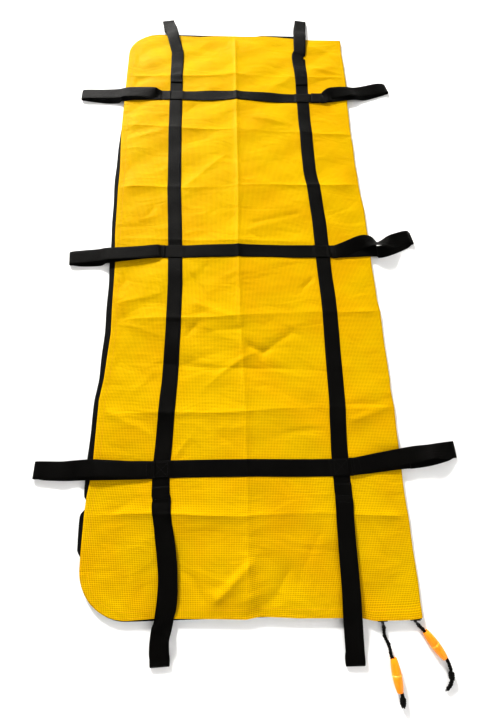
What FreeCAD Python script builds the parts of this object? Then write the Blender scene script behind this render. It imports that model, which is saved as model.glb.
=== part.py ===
"""Rescue stretcher: a flat bag of coated mesh with a harness of webbing.

The lid lies on the floor and the harness panel lies over it. The two are one
cloth folded along the right side. A zip runs round the other three sides.
Millimetres, +Z up from the floor, +Y towards the head, X across the width.
The left half of the harness panel is the flap. It folds up about the crease
on the centre line. The right half and the lid are the base.
"""
import FreeCAD, Part
import math
import os

os.makedirs("parts", exist_ok=True)

# Panels
PANEL_W = 920.0
PANEL_L = 2250.0
CORNER_R = 130.0
CLOTH_T = 1.2
HEM_W = 30.0
HEM_T = 1.2
HEM_END_X = 452.0
FLAP_GAP = 0.3

# Zip
TAPE_T = 0.8
TAPE_INSIDE = 14.0
ZIP_OUT = 13.6
COIL_W = 3.4
COIL_H = 2.8
COIL_GAP = 1.6
ZIP_FOOT_X = 450.7
ZIP_HEAD_X = 305.0
STOP_L = 4.0
STOP_GAP = 0.3
SEAM_T = 4.0
SEAM_INSET = 4.0

# Webbing harness
WEB_W = 50.0
WEB_T = 1.6
LONG_LEFT_X = -247.0
LONG_RIGHT_X = 272.0
LONG_HEAD_END = 992.0
LONG_FOOT_END = -812.0
ROWS_Y = (752.0, 7.0, -738.0)
ROW_NAMES = ("head", "middle", "foot")
JOG_RAMP = 9.0
JOG_R = 12.0
THREAD_BOX = 40.0
THREAD_W = 1.2
THREAD_H = 0.4

# Handles: root x, root y, reach, heading in degrees from +X, run on the panel
HANDLES = {
    "handle_side_left_head": (-312.0, 752.0, 328.0, 179.1, 178.0),
    "handle_side_left_middle": (-285.0, 7.0, 321.0, 184.9, 205.0),
    "handle_side_left_foot": (-285.0, -738.0, 342.0, 178.6, 205.0),
    "handle_side_right_head": (342.0, 752.0, 301.5, 14.3, 142.0),
    "handle_side_right_middle": (312.0, 7.0, 318.0, 11.2, 170.0),
    "handle_side_right_foot": (312.0, -738.0, 326.0, 7.9, 168.0),
    "handle_head_left": (-252.0, 1000.0, 226.0, 101.8, 152.0),
    "handle_head_right": (270.0, 1000.0, 242.0, 85.0, 150.0),
    "handle_foot_left": (-250.0, -820.0, 408.0, 272.0, 330.0),
    "handle_foot_right": (272.0, -820.0, 423.0, 269.4, 330.0),
}
ROOT_GAP = 0.8
PANEL_REST_GAP = 0.4
FLOOR_REST_GAP = 0.6
DROP_RUN = 46.0
DROP_R = 30.0
TIP_RISE = 9.0
TIP_R = 3.6
SEWN_RUN = 26.0
SEWN_R = 40.0
HOLE_START = 48.0
ARCH_R = 70.0
ARCH_LOW_SHARE = 0.7
ARCH_HIGH_SHARE = 0.36
ARCH_LOW = 12.0
ARCH_HIGH = 16.0

# Sliders
SLIDER_A_X = 345.0
SLIDER_B_X = 434.0
SLIDER_L = 26.0
SLIDER_TAIL_H = 7.6
SLIDER_NOSE_H = 10.8
PLATE_T = 1.8
PLATE_FIT = 0.4
INNER_PLATE_H = 6.4
WEB_POST_T = 1.0
WEB_POST_L = 12.0
LUG_L = 4.0
LUG_T = 1.4
LUG_OUT = 5.2
PIN_OUT = 3.0
PIN_R = 0.95
EDGE_FILLET = 1.2

# Pulls: tab, cord, float, knot
TAB_FIT = 0.3
TAB_EYE_R = 2.4
TAB_NECK_W = 2.4
TAB_L = 10.0
TAB_BARREL_R = 3.8
TAB_BARREL_L = 5.0
TAB_Z = 8.2
CORD_D = 6.0
FLOAT_L = 76.0
FLOAT_R = 12.0
FLOAT_END_R = 7.5
FLOAT_BULGE_R = 10.9
BAND_L = 4.0
BAND_R = 12.3
BORE_FIT = 0.3
FLOAT_Z = 12.6
KNOT_R = 7.0
KNOT_L = 16.0
KNOT_RIM = 3.0
ARC_SHARE = 0.45
# Cord routes from the pin: outwards, sideways, height, at rest
PULL_A_ANGLE = 9.0
CORD_A = (
    (TAB_L, 0.0, TAB_Z),
    (30.0, -5.0, 6.0),
    (50.0, 1.5, 9.4),
    (69.0, -1.0, FLOAT_Z),
    (164.0, 2.0, FLOAT_Z),
    (188.0, -3.0, 8.4),
)
FLOAT_A_START = 80.0
KNOT_A = 168.0
PULL_B_ANGLE = 38.0
CORD_B = (
    (TAB_L, 0.0, TAB_Z),
    (21.0, 1.0, FLOAT_Z),
    (114.0, -1.0, FLOAT_Z),
    (134.0, -10.0, 9.0),
    (154.0, -28.0, 8.0),
    (158.0, -49.0, 4.2),
)
FLOAT_B_START = 29.0
KNOT_B = 138.0

# Heights of the stack, from the floor up
HALF_W = PANEL_W / 2
HALF_L = PANEL_L / 2
TAPE_LOW_Z = CLOTH_T + HEM_T
COIL_LOW_Z = TAPE_LOW_Z + TAPE_T
COIL_UP_Z = COIL_LOW_Z + COIL_H + COIL_GAP
TAPE_UP_Z = COIL_UP_Z + COIL_H
HEM_UP_Z = TAPE_UP_Z + TAPE_T
HARNESS_Z = HEM_UP_Z + HEM_T
WEB_Z = HARNESS_Z + CLOTH_T
HINGE_Z = WEB_Z + WEB_T
CROSSING_TOP_Z = HINGE_Z + WEB_T
ROOT_TOP_Z = WEB_Z + PANEL_REST_GAP + 2 * WEB_T
FOLD_R = WEB_Z / 2
FOLD_X = HALF_W - FOLD_R
BIG = 3000.0


def vec(x, y, z=0.0):
    return FreeCAD.Vector(x, y, z)


def box(x0, x1, y0, y1, z0, z1):
    return Part.makeBox(x1 - x0, y1 - y0, z1 - z0, vec(x0, y0, z0))


def left_of(shape, x):
    return shape.common(box(-BIG, x, -BIG, BIG, -BIG, BIG))


def right_of(shape, x):
    return shape.common(box(x, BIG, -BIG, BIG, -BIG, BIG))


def save(name, shape):
    """Writes one node and says what is in it."""
    solids = shape.Solids
    if not shape.isValid() or not solids:
        raise ValueError(name + " is not a valid solid")
    Part.makeCompound(solids).exportStep("parts/" + name + ".step")
    print(f"{name:28s} {len(solids):2d} solid(s) {shape.Volume / 1000:9.2f} cm3")


# ---- flat pieces along the C-shaped edge ----------------------------------


def edge_run(offset, foot_x, head_x):
    """The C line: foot edge, left side, head edge, moved outwards by offset."""
    x = -HALF_W - offset
    y = HALF_L + offset
    r = CORNER_R + offset
    k = r * (1 - math.sqrt(0.5))
    foot_in, side_foot = vec(x + r, -y), vec(x, -y + r)
    side_head, head_in = vec(x, y - r), vec(x + r, y)
    return [
        Part.LineSegment(vec(foot_x, -y), foot_in).toShape(),
        Part.Arc(foot_in, vec(x + k, -y + k), side_foot).toShape(),
        Part.LineSegment(side_foot, side_head).toShape(),
        Part.Arc(side_head, vec(x + k, y - k), head_in).toShape(),
        Part.LineSegment(head_in, vec(head_x, y)).toShape(),
    ]


def edge_strip(outer, inner, foot_x, head_x, z, thick):
    """A flat strip that follows the C line between two offsets."""
    y_out, y_in = HALF_L + outer, HALF_L + inner
    edges = edge_run(outer, foot_x, head_x) + edge_run(inner, foot_x, head_x)
    edges.append(Part.LineSegment(vec(foot_x, -y_out), vec(foot_x, -y_in)).toShape())
    edges.append(Part.LineSegment(vec(head_x, y_out), vec(head_x, y_in)).toShape())
    face = Part.Face(Part.Wire(Part.__sortEdges__(edges)))
    face.translate(vec(0, 0, z))
    return face.extrude(vec(0, 0, thick))


def panel(z):
    """One whole layer of cloth, square on the right and rounded on the left."""
    edges = edge_run(0.0, FOLD_X, FOLD_X)
    edges.append(Part.LineSegment(vec(FOLD_X, HALF_L), vec(FOLD_X, -HALF_L)).toShape())
    face = Part.Face(Part.Wire(Part.__sortEdges__(edges)))
    face.translate(vec(0, 0, z))
    return face.extrude(vec(0, 0, CLOTH_T))


def side_fold():
    """The cloth turning over from the lid to the harness panel."""
    at = vec(FOLD_X, -HALF_L, FOLD_R)
    along = vec(0, 1, 0)
    outer = Part.makeCylinder(FOLD_R, PANEL_L, at, along)
    inner = Part.makeCylinder(FOLD_R - CLOTH_T, PANEL_L, at, along)
    return right_of(outer.cut(inner), FOLD_X)


def head_seam():
    """The short closed part of the head edge, past the end of the zip."""
    y = HALF_L - SEAM_INSET
    x = ZIP_HEAD_X + STOP_L + 2 * STOP_GAP
    return box(x, HEM_END_X, y - SEAM_T, y, TAPE_LOW_Z, HEM_UP_Z)


def zip_tape(z):
    head_x = ZIP_HEAD_X + STOP_L
    foot_x = ZIP_FOOT_X
    return edge_strip(ZIP_OUT, -TAPE_INSIDE, foot_x, head_x, z, TAPE_T)


def zip_coil(z):
    foot_x = ZIP_FOOT_X - STOP_L - STOP_GAP
    head_x = ZIP_HEAD_X - STOP_GAP
    return edge_strip(ZIP_OUT, ZIP_OUT - COIL_W, foot_x, head_x, z, COIL_H)


def zip_end_stops():
    """One stop at each end of the zip, standing between the two tapes."""
    y_in, y_out = HALF_L + ZIP_OUT - COIL_W, HALF_L + ZIP_OUT
    foot = box(ZIP_FOOT_X - STOP_L, ZIP_FOOT_X, -y_out, -y_in, COIL_LOW_Z, TAPE_UP_Z)
    head = box(ZIP_HEAD_X, ZIP_HEAD_X + STOP_L, y_in, y_out, COIL_LOW_Z, TAPE_UP_Z)
    return Part.makeCompound([foot, head])


# ---- bent strips of webbing, drawn in the XZ plane ------------------------


def rounded_edges(points, offset):
    """Edges of a line with rounded corners, moved to its left by offset.

    Each point is (x, z, corner radius). The end points have no radius.
    """
    here = [vec(p[0], 0, p[1]) for p in points]
    ways = [(b - a).normalize() for a, b in zip(here, here[1:])]
    lefts = [vec(-w.z, 0, w.x) for w in ways]
    last = here[0] + lefts[0] * offset
    edges = []
    for i in range(1, len(here) - 1):
        before, after = ways[i - 1], ways[i]
        turn = math.atan2(before.x * after.z - before.z * after.x, before.dot(after))
        side = math.copysign(1.0, turn)
        r = points[i][2]
        reach = r * math.tan(abs(turn) / 2)
        centre = here[i] - before * reach + lefts[i - 1] * (r * side)
        to_corner = (here[i] - centre).normalize()
        start = here[i] - before * reach + lefts[i - 1] * offset
        middle = centre + to_corner * (r - side * offset)
        end = here[i] + after * reach + lefts[i] * offset
        edges.append(Part.LineSegment(last, start).toShape())
        edges.append(Part.Arc(start, middle, end).toShape())
        last = end
    edges.append(Part.LineSegment(last, here[-1] + lefts[-1] * offset).toShape())
    return edges


def ends_of(edges):
    """First and last point of a run of edges that were made in order."""
    first, last = edges[0], edges[-1]
    return first.valueAt(first.FirstParameter), last.valueAt(last.LastParameter)


def closed_face(*runs):
    """A face bounded by the runs, with straight lines joining them in turn."""
    edges = []
    for run, following in zip(runs, runs[1:] + runs[:1]):
        edges += run[0]
        a, b = run[1][1], following[1][0]
        if a.distanceToPoint(b) > 1e-6:
            edges.append(Part.LineSegment(a, b).toShape())
    return Part.Face(Part.Wire(Part.__sortEdges__(edges)))


def with_ends(edges, flip=False):
    first, last = ends_of(edges)
    return (edges, (last, first)) if flip else (edges, (first, last))


def wide_strip(points, y):
    """A strip of webbing as thick as WEB_T, bent along the points, at row y."""
    up = with_ends(rounded_edges(points, WEB_T / 2))
    down = with_ends(rounded_edges(points, -WEB_T / 2), flip=True)
    face = closed_face(up, down)
    face.translate(vec(0, y - WEB_W / 2, 0))
    return face.extrude(vec(0, WEB_W, 0))


def cross_strap(row, side):
    """Half a cross strap, which steps up over the lengthwise strap."""
    y = ROWS_Y[row]
    name = "handle_side_" + ("right" if side > 0 else "left") + "_" + ROW_NAMES[row]
    root_x, _, _, heading, _ = HANDLES[name]
    skew = math.radians(heading if side > 0 else heading - 180)
    end = abs(root_x) - ROOT_GAP - WEB_W / 2 * abs(math.tan(skew))
    over = abs(LONG_RIGHT_X if side > 0 else LONG_LEFT_X)
    low, high = WEB_Z + WEB_T / 2, HINGE_Z + WEB_T / 2
    near, far = over - WEB_W / 2 - 1, over + WEB_W / 2 + 1
    start = 0.0 if side > 0 else FLAP_GAP
    last = min(far + JOG_RAMP, end - 1)
    line = [
        (start, low, 0),
        (near - JOG_RAMP, low, JOG_R),
        (near, high, JOG_R),
        (far, high, JOG_R),
    ]
    if end > far + JOG_RAMP + 3:
        line += [(last, low, JOG_R), (end, low, 0)]
    else:
        line[-1] = (end, high, 0)
    if side < 0:
        line = [(-x, z, r) for x, z, r in line][::-1]
    return wide_strip(line, y)


def long_strap(x):
    """A lengthwise strap, flat on the panel between its two handle roots."""
    half = WEB_W / 2
    return box(x - half, x + half, LONG_FOOT_END, LONG_HEAD_END, WEB_Z, HINGE_Z)


def crossing_stitches(x):
    """Thread boxes with a cross inside, one on top of each crossing."""
    half, bar = THREAD_BOX / 2, THREAD_W / 2
    z0, z1 = CROSSING_TOP_Z, CROSSING_TOP_Z + THREAD_H
    stitches = []
    for y in ROWS_Y:
        frame = box(x - half, x + half, y - half, y + half, z0, z1)
        inside = half - THREAD_W
        frame = frame.cut(box(x - inside, x + inside, y - inside, y + inside, z0, z1))
        for angle in (45, 135):
            reach = half * math.sqrt(2) - THREAD_W
            diagonal = box(-reach, reach, -bar, bar, z0, z1)
            diagonal.rotate(vec(0, 0), vec(0, 0, 1), angle)
            diagonal.translate(vec(x, y))
            frame = frame.fuse(diagonal)
        stitches.append(frame.removeSplitter())
    return Part.makeCompound(stitches)


# ---- handles ---------------------------------------------------------------


def loop_line(reach, on_panel, start, arch_end):
    """Middle line of a handle loop: out along the panel, floor, tip and back."""
    lower = WEB_Z + PANEL_REST_GAP + WEB_T / 2
    upper = ROOT_TOP_Z - WEB_T / 2
    floor = FLOOR_REST_GAP + WEB_T / 2
    line = [
        (start, lower, 0),
        (on_panel, lower, DROP_R),
        (on_panel + DROP_RUN, floor, DROP_R),
        (reach, floor, TIP_R),
        (reach, floor + TIP_RISE, TIP_R),
        (reach * ARCH_LOW_SHARE, ROOT_TOP_Z + ARCH_LOW, ARCH_R),
        (reach * ARCH_HIGH_SHARE, ROOT_TOP_Z + ARCH_HIGH, ARCH_R),
    ]
    sewn = (SEWN_RUN, upper, SEWN_R)
    if arch_end:
        return line + [sewn, (0.0, upper, 0)]
    top = line[-1]
    share = (HOLE_START - sewn[0]) / (top[0] - sewn[0])
    return line + [(HOLE_START, sewn[1] + share * (top[1] - sewn[1]), 0)]


def handle(name):
    """A loop of webbing, sewn flat to itself at the root."""
    root_x, root_y, reach, heading, on_panel = HANDLES[name]
    reach = reach - WEB_T / 2
    whole = with_ends(rounded_edges(loop_line(reach, on_panel, 0.0, True), -WEB_T / 2))
    inside_line = loop_line(reach, on_panel, HOLE_START, False)
    inside = with_ends(rounded_edges(inside_line, WEB_T / 2))
    loop = closed_face(whole).cut(closed_face(inside))
    loop.translate(vec(0, -WEB_W / 2, 0))
    solid = loop.extrude(vec(0, WEB_W, 0)).Solids[0]
    solid.rotate(vec(0, 0), vec(0, 0, 1), heading)
    solid.translate(vec(root_x, root_y, 0))
    return solid


# ---- sliders and pulls -----------------------------------------------------


def slider(x, nose):
    """Two plates joined by a post, with two lugs and a pin for the pull.

    The chain stands on edge, so the plates are upright. The post runs
    between the coils. The wide end is the one where the coils come apart,
    and nose is +1 when it points to +X. The zip is closed only between the
    two sliders, so the wide ends point away from each other.
    """
    face = -(HALF_L + ZIP_OUT + PLATE_FIT)
    middle = COIL_LOW_Z + COIL_H + COIL_GAP / 2
    half = SLIDER_L / 2
    tail, shoulder = SLIDER_TAIL_H / 2, SLIDER_NOSE_H / 2
    outline = [(-half, -tail), (0, -shoulder), (half, -shoulder)]
    outline += [(half, shoulder), (0, shoulder), (-half, tail)]
    corners = [vec(x + nose * a, face, middle + b) for a, b in outline]
    plate = Part.Face(Part.makePolygon(corners + corners[:1]))
    plate = plate.extrude(vec(0, -PLATE_T, 0))
    across = [e for e in plate.Edges if abs(e.tangentAt(e.FirstParameter).y) > 0.99]
    plate = plate.makeFillet(EDGE_FILLET, across)
    inner_face = face + 2 * PLATE_FIT + COIL_W
    low, high = middle - INNER_PLATE_H / 2, middle + INNER_PLATE_H / 2
    inner = box(x - half, x + half, inner_face, inner_face + PLATE_T, low, high)
    post_end = x + nose * (half - 1)
    post_start = post_end - nose * WEB_POST_L
    post_x = sorted((post_start, post_end))
    slim = WEB_POST_T / 2
    post = box(*post_x, face, inner_face, middle - slim, middle + slim)
    out = face - PLATE_T
    lug_x = (x - LUG_L / 2, x + LUG_L / 2)
    foot_of_lugs = middle - shoulder
    top_of_lugs = middle + shoulder
    lower = box(*lug_x, out - LUG_OUT, out, foot_of_lugs, foot_of_lugs + LUG_T)
    upper = box(*lug_x, out - LUG_OUT, out, top_of_lugs - LUG_T, top_of_lugs)
    pin_at = vec(x, out - PIN_OUT, foot_of_lugs)
    pin = Part.makeCylinder(PIN_R, SLIDER_NOSE_H, pin_at)
    return plate.multiFuse([inner, post, lower, upper, pin]).removeSplitter()


def pin_place(x):
    return vec(x, -(HALF_L + ZIP_OUT + PLATE_FIT + PLATE_T + PIN_OUT), 0)


def place_pull(shape, x, angle):
    """Moves a piece drawn along -Y from the origin to its slider."""
    shape.rotate(vec(0, 0), vec(0, 0, 1), angle)
    shape.translate(pin_place(x))
    return shape


def pull_tab():
    """A small tab with an eye round the pin and a barrel that grips the cord."""
    middle = COIL_LOW_Z + COIL_H + COIL_GAP / 2
    half = SLIDER_NOSE_H / 2 - LUG_T - TAB_FIT
    low, high = middle - half, middle + half
    eye = Part.makeCylinder(TAB_EYE_R, high - low, vec(0, 0, low))
    slim = TAB_NECK_W / 2
    neck = box(-slim, slim, -(TAB_L - TAB_BARREL_L / 2), 0, low, high)
    barrel_at = vec(0, -(TAB_L - TAB_BARREL_L), TAB_Z)
    barrel = Part.makeCylinder(TAB_BARREL_R, TAB_BARREL_L, barrel_at, vec(0, -1, 0))
    hole = Part.makeCylinder(PIN_R + TAB_FIT, BIG, vec(0, 0, -BIG / 2))
    return eye.multiFuse([neck, barrel]).cut(hole).removeSplitter()


def cord(name, route):
    """A round cord of straight runs joined by tangent arcs."""
    points = [vec(side, -out, z) for out, side, z in route]
    ways = [(b - a).normalize() for a, b in zip(points, points[1:])]
    runs = [(b - a).Length for a, b in zip(points, points[1:])]
    edges, last, radii = [], points[0], []
    for i in range(1, len(points) - 1):
        back = ARC_SHARE * min(runs[i - 1], runs[i])
        half_turn = ways[i - 1].getAngle(ways[i]) / 2
        radius = back / math.tan(half_turn)
        start, end = points[i] - ways[i - 1] * back, points[i] + ways[i] * back
        inwards = (ways[i] - ways[i - 1]).normalize()
        gap = radius / math.cos(half_turn) - radius
        edges.append(Part.LineSegment(last, start).toShape())
        edges.append(Part.Arc(start, points[i] + inwards * gap, end).toShape())
        last = end
        radii.append(radius)
    edges.append(Part.LineSegment(last, points[-1]).toShape())
    path = Part.Wire(edges)
    ring = Part.Wire(Part.makeCircle(CORD_D / 2, points[0], ways[0]))
    tube = path.makePipeShell([ring], True, True)
    share = tube.Volume / (path.Length * math.pi * CORD_D**2 / 4)
    said = ", ".join(f"{r:.0f}" for r in radii)
    print(f"{name}: {path.Length:.0f} mm, radii {said}, volume share {share:.3f}")
    return tube


def float_profile(points):
    """Turns a half outline of (distance, radius) round the line of the cord."""
    corners = [vec(r, -d, 0) for d, r in points]
    face = Part.Face(Part.makePolygon(corners + corners[:1]))
    return face.revolve(vec(0, 0), vec(0, 1, 0), 360)


def float_half(start, end_r, mid_r):
    """One tapered half of a float, its slim end first, from start outwards."""
    bore = CORD_D / 2 + BORE_FIT
    length = (FLOAT_L - BAND_L) / 2
    slim = Part.Arc(
        vec(end_r, -start), vec(FLOAT_BULGE_R, -(start + length / 2)),
        vec(mid_r, -(start + length)),
    ).toShape()
    corners = [vec(mid_r, -(start + length)), vec(bore, -(start + length))]
    corners += [vec(bore, -start), vec(end_r, -start)]
    lines = [Part.LineSegment(a, b).toShape() for a, b in zip(corners, corners[1:])]
    face = Part.Face(Part.Wire(Part.__sortEdges__([slim] + lines)))
    return face.revolve(vec(0, 0), vec(0, 1, 0), 360)


def float_pieces(start):
    """Near half, band and far half, in line along -Y."""
    length = (FLOAT_L - BAND_L) / 2
    bore = CORD_D / 2 + BORE_FIT
    near = float_half(start, FLOAT_END_R, FLOAT_R)
    far = float_half(0.0, FLOAT_END_R, FLOAT_R)
    far.rotate(vec(0, 0), vec(0, 0, 1), 180)
    far.translate(vec(0, -(start + FLOAT_L), 0))
    a, b = start + length, start + length + BAND_L
    band = float_profile([(a, bore), (a, BAND_R), (b, BAND_R), (b, bore)])
    return near, band, far


def knot(start):
    """A tight round knot on the cord: a barrel with rounded rims."""
    bore, shoulder = CORD_D / 2, KNOT_R - KNOT_RIM
    end, bend = start + KNOT_L, KNOT_RIM * (1 - math.sqrt(0.5))
    near = [vec(shoulder, -start), vec(KNOT_R - bend, -start - bend)]
    near.append(vec(KNOT_R, -start - KNOT_RIM))
    far = [vec(KNOT_R, -end + KNOT_RIM), vec(KNOT_R - bend, -end + bend)]
    far.append(vec(shoulder, -end))
    edges = [Part.Arc(*near).toShape(), Part.Arc(*far).toShape()]
    corners = [near[2], far[0]]
    edges.append(Part.LineSegment(*corners).toShape())
    corners = [far[2], vec(bore, -end), vec(bore, -start), near[0]]
    edges += [Part.LineSegment(a, b).toShape() for a, b in zip(corners, corners[1:])]
    face = Part.Face(Part.Wire(Part.__sortEdges__(edges)))
    return face.revolve(vec(0, 0), vec(0, 1, 0), 360)


def along_run(shape, a, b):
    """Moves a piece drawn on the Y axis onto the run of cord from a to b."""
    start, end = vec(a[1], -a[0], a[2]), vec(b[1], -b[0], b[2])
    way = end - start
    shape.rotate(vec(0, 0), vec(0, 0, 1), math.degrees(math.atan2(way.x, -way.y)))
    shape.translate(start)
    slope = math.degrees(math.asin(way.z / way.Length))
    flat_across = vec(-way.y, way.x, 0)
    shape.rotate(start, flat_across, -slope)
    return shape


def pull(letter, x, angle, route, float_at, knot_at):
    """Everything that swings with one pull. Places are (run, distance out)."""
    save("pull_tab_" + letter, place_pull(pull_tab(), x, angle))
    tube = cord("pull_cord_" + letter, route)
    save("pull_cord_" + letter, place_pull(tube, x, angle))
    a, b = route[float_at[0]], route[float_at[0] + 1]
    pieces = float_pieces(float_at[1] - a[0])
    for name, piece in zip(("near_half", "band", "far_half"), pieces):
        piece = place_pull(along_run(piece, a, b), x, angle)
        save(f"float_{letter}_{name}", piece)
    a, b = route[knot_at[0]], route[knot_at[0] + 1]
    lump = along_run(knot(knot_at[1] - a[0]), a, b)
    save("pull_knot_" + letter, place_pull(lump, x, angle))


# ---- all the pieces --------------------------------------------------------


def build_base():
    save("lid_panel", panel(0.0))
    save("lid_hem", edge_strip(0.0, -HEM_W, HEM_END_X, HEM_END_X, CLOTH_T, HEM_T))
    save("side_fold", side_fold())
    save("head_seam", head_seam())
    save("zip_tape_lid", zip_tape(TAPE_LOW_Z))
    save("zip_coil_lid", zip_coil(COIL_LOW_Z))
    save("zip_end_stops", zip_end_stops())
    save("harness_panel_right", right_of(panel(HARNESS_Z), 0))
    hem = edge_strip(0.0, -HEM_W, HEM_END_X, HEM_END_X, HEM_UP_Z, HEM_T)
    save("harness_hem_right", right_of(hem, 0))
    save("zip_tape_right", right_of(zip_tape(TAPE_UP_Z), 0))
    save("zip_coil_right", right_of(zip_coil(COIL_UP_Z), 0))
    save("long_strap_right", long_strap(LONG_RIGHT_X))
    save("crossing_stitches_right", crossing_stitches(LONG_RIGHT_X))


def build_flap():
    hem = edge_strip(0.0, -HEM_W, HEM_END_X, HEM_END_X, HEM_UP_Z, HEM_T)
    save("harness_panel_left", left_of(panel(HARNESS_Z), -FLAP_GAP))
    save("harness_hem_left", left_of(hem, -FLAP_GAP))
    save("zip_tape_left", left_of(zip_tape(TAPE_UP_Z), -FLAP_GAP))
    save("zip_coil_left", left_of(zip_coil(COIL_UP_Z), -FLAP_GAP))
    save("long_strap_left", long_strap(LONG_LEFT_X))
    save("crossing_stitches_left", crossing_stitches(LONG_LEFT_X))


def build_straps():
    for row, name in enumerate(ROW_NAMES):
        save("cross_strap_right_" + name, cross_strap(row, 1))
        save("cross_strap_left_" + name, cross_strap(row, -1))


def build_zip_pulls():
    save("slider_a", slider(SLIDER_A_X, -1))
    save("slider_b", slider(SLIDER_B_X, 1))
    pull("a", SLIDER_A_X, PULL_A_ANGLE, CORD_A, (3, FLOAT_A_START), (4, KNOT_A))
    pull("b", SLIDER_B_X, PULL_B_ANGLE, CORD_B, (1, FLOAT_B_START), (3, KNOT_B))


build_base()
build_flap()
build_straps()
for handle_name in HANDLES:
    save(handle_name, handle(handle_name))
build_zip_pulls()
print(f"hinge line height {HINGE_Z:.2f}, handle root height {ROOT_TOP_Z:.2f}")
print(f"slider pin line y {pin_place(0).y:.2f}")
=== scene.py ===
"""Looks of the rescue stretcher: cloth, webbing, zip, cords, floats and light.

Metres, +Z up from the floor, +Y towards the head. The CAD frame is fixed.
"""

import math

import bpy
import numpy as np
from mathutils import Matrix, Vector


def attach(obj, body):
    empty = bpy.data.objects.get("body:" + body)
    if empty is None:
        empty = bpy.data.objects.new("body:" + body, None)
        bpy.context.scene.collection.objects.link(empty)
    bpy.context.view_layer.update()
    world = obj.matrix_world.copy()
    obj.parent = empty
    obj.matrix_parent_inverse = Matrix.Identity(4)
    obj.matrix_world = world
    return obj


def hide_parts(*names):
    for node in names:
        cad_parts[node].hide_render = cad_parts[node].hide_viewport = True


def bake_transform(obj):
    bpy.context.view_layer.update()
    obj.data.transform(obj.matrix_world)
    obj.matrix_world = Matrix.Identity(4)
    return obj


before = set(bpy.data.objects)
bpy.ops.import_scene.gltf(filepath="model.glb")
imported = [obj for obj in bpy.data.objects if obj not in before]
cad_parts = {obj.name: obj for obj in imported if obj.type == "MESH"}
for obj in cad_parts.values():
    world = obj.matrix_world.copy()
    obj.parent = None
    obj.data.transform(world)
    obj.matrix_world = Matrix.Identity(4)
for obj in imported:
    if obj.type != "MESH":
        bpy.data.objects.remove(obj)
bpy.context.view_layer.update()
scene = bpy.context.scene
rng = np.random.default_rng(11)

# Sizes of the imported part, in metres: the panel, its side fold, the cloth and the webbing
HALF_W, HALF_L, CORNER_R = 0.46, 1.125, 0.13
FOLD_X, FOLD_R = 0.4532, 0.0068
CLOTH_T, WEB_W, WEB_T = 0.0012, 0.05, 0.0016
MESH_PITCH = 0.0046
# Top of the flat stack, the highest the cloth may rise, and the highest anything may
TOP_Z, CLOTH_MAX_Z, MAX_Z = 0.0136, 0.0375, 0.0438
# y of the cross straps
ROWS_Y = (0.752, 0.007, -0.738)
# The two sides of the middle crease: sign of x, name, body
SIDES = ((-1, "left", "flap"), (1, "right", "base"))
# Where cloth that crosses the middle crease leaves the base, and where it is all flap
FOLD_START, FOLD_END = (0.016, 0.0, 0.0152), (-0.058, 0.0, 0.0152)
# Width, height, length and gap of the stitches
HEM_STITCH = (0.0008, 0.0003, 0.0032, 0.0014)
STRAP_STITCH = (0.0008, 0.00035, 0.0034, 0.0016)
BOX_STITCH = (0.0009, 0.0004, 0.0030, 0.0012)
ROOT_STITCH = (0.0009, 0.00045, 0.0032, 0.0014)
UP = np.array([0.0, 0.0, 1.0])


# ---- camera --------------------


def make_camera():
    data = bpy.data.cameras.new("camera")
    data.lens = 21.42
    data.sensor_width = 36.0
    cam = bpy.data.objects.new("camera", data)
    scene.collection.objects.link(cam)
    right = Vector((0.99902, -0.02149, 0.03866)).normalized()
    forward = Vector((0.04367, 0.33977, -0.93950)).normalized()
    up = right.cross(forward)
    turn = Matrix((right, up, -forward)).transposed().to_4x4()
    cam.matrix_world = Matrix.Translation((-0.0822, -0.8655, 1.3022)) @ turn
    scene.camera = cam


# ---- meshes --------------------


def mesh_object(name, verts, faces, uv=None, smooth=True):
    """A mesh from arrays. uv holds one flat-cloth position in metres per vertex."""
    data = bpy.data.meshes.new(name)
    verts = np.asarray(verts, float)
    data.from_pydata(verts.tolist(), [], [tuple(f) for f in faces])
    if uv is not None:
        layer = data.uv_layers.new(name="flat")
        index = np.zeros(len(data.loops), np.int32)
        data.loops.foreach_get("vertex_index", index)
        layer.data.foreach_set("uv", np.asarray(uv, np.float32)[index].ravel())
    data.polygons.foreach_set("use_smooth", [smooth] * len(data.polygons))
    data.update()
    obj = bpy.data.objects.new(name, data)
    scene.collection.objects.link(obj)
    return obj


def grid_faces(rows, cols, first, flip=False):
    i = np.arange(rows - 1)[:, None] * cols + np.arange(cols - 1)[None, :] + first
    i = i.ravel()
    quads = np.stack([i, i + 1, i + cols + 1, i + cols], -1)
    return quads[:, ::-1] if flip else quads


def thick_grid(top, bottom, uv):
    """Vertices, faces and uv of a closed sheet between two grids of points."""
    rows, cols = top.shape[:2]
    n = rows * cols
    verts = np.concatenate([top.reshape(-1, 3), bottom.reshape(-1, 3)])
    ring = np.concatenate([
        np.arange(cols), np.arange(1, rows) * cols + cols - 1,
        (rows - 1) * cols + np.arange(cols - 2, -1, -1), np.arange(rows - 2, 0, -1) * cols,
    ])
    after = np.roll(ring, -1)
    sides = np.stack([ring, ring + n, after + n, after], -1)
    faces = np.concatenate([grid_faces(rows, cols, 0), grid_faces(rows, cols, n, True), sides])
    return verts, faces, np.concatenate([uv.reshape(-1, 2)] * 2)


def joined(parts):
    """Several (verts, faces, uv) as one."""
    verts, faces, uvs, first = [], [], [], 0
    for v, f, uv in parts:
        verts.append(v)
        faces.append(np.asarray(f) + first)
        uvs.append(uv)
        first += len(v)
    return np.concatenate(verts), np.concatenate(faces), np.concatenate(uvs)


def ring_faces(rings, sides, closed=False):
    """Quads between rings of points. closed joins the last ring to the first."""
    i = np.arange(rings if closed else rings - 1)[:, None]
    a = np.arange(sides)[None]
    b, j = (a + 1) % sides, (i + 1) % rings * sides
    i = i * sides
    return np.stack([i + a, i + b, j + b, j + a], -1).reshape(-1, 4)


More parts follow.
